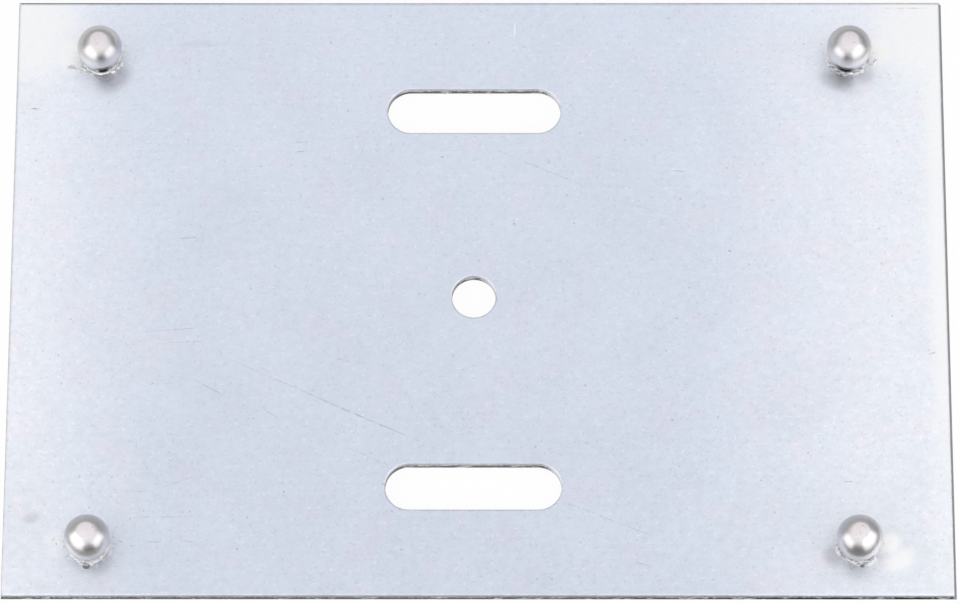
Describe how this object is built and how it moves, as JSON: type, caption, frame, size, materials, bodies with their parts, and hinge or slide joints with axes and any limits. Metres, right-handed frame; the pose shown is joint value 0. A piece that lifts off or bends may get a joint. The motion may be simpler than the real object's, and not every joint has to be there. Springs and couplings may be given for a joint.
{
  "type": "mounting plate",
  "caption": "Flat galvanised steel mounting plate with punched slots, a centre hole and small steel balls welded near its corners.",
  "frame": {"origin": "on the axis of the centre hole, in the plane of the back face that the plate lies on", "axes": "+X along the long side, +Y along the short side, +Z out of the front face that carries the balls"},
  "size_m": [0.14, 0.095, 0.0079],
  "materials": {
    "galvanised_sheet": "satin",
    "ball_steel": "polished",
    "weld_metal": "satin"
  },
  "bodies": {
    "root": {"plate": "galvanised_sheet", "ball_back_left": "ball_steel", "ball_back_right": "ball_steel", "ball_front_left": "ball_steel", "ball_front_right": "ball_steel", "weld_metal": "weld_metal"}
  },
  "joints": []
}
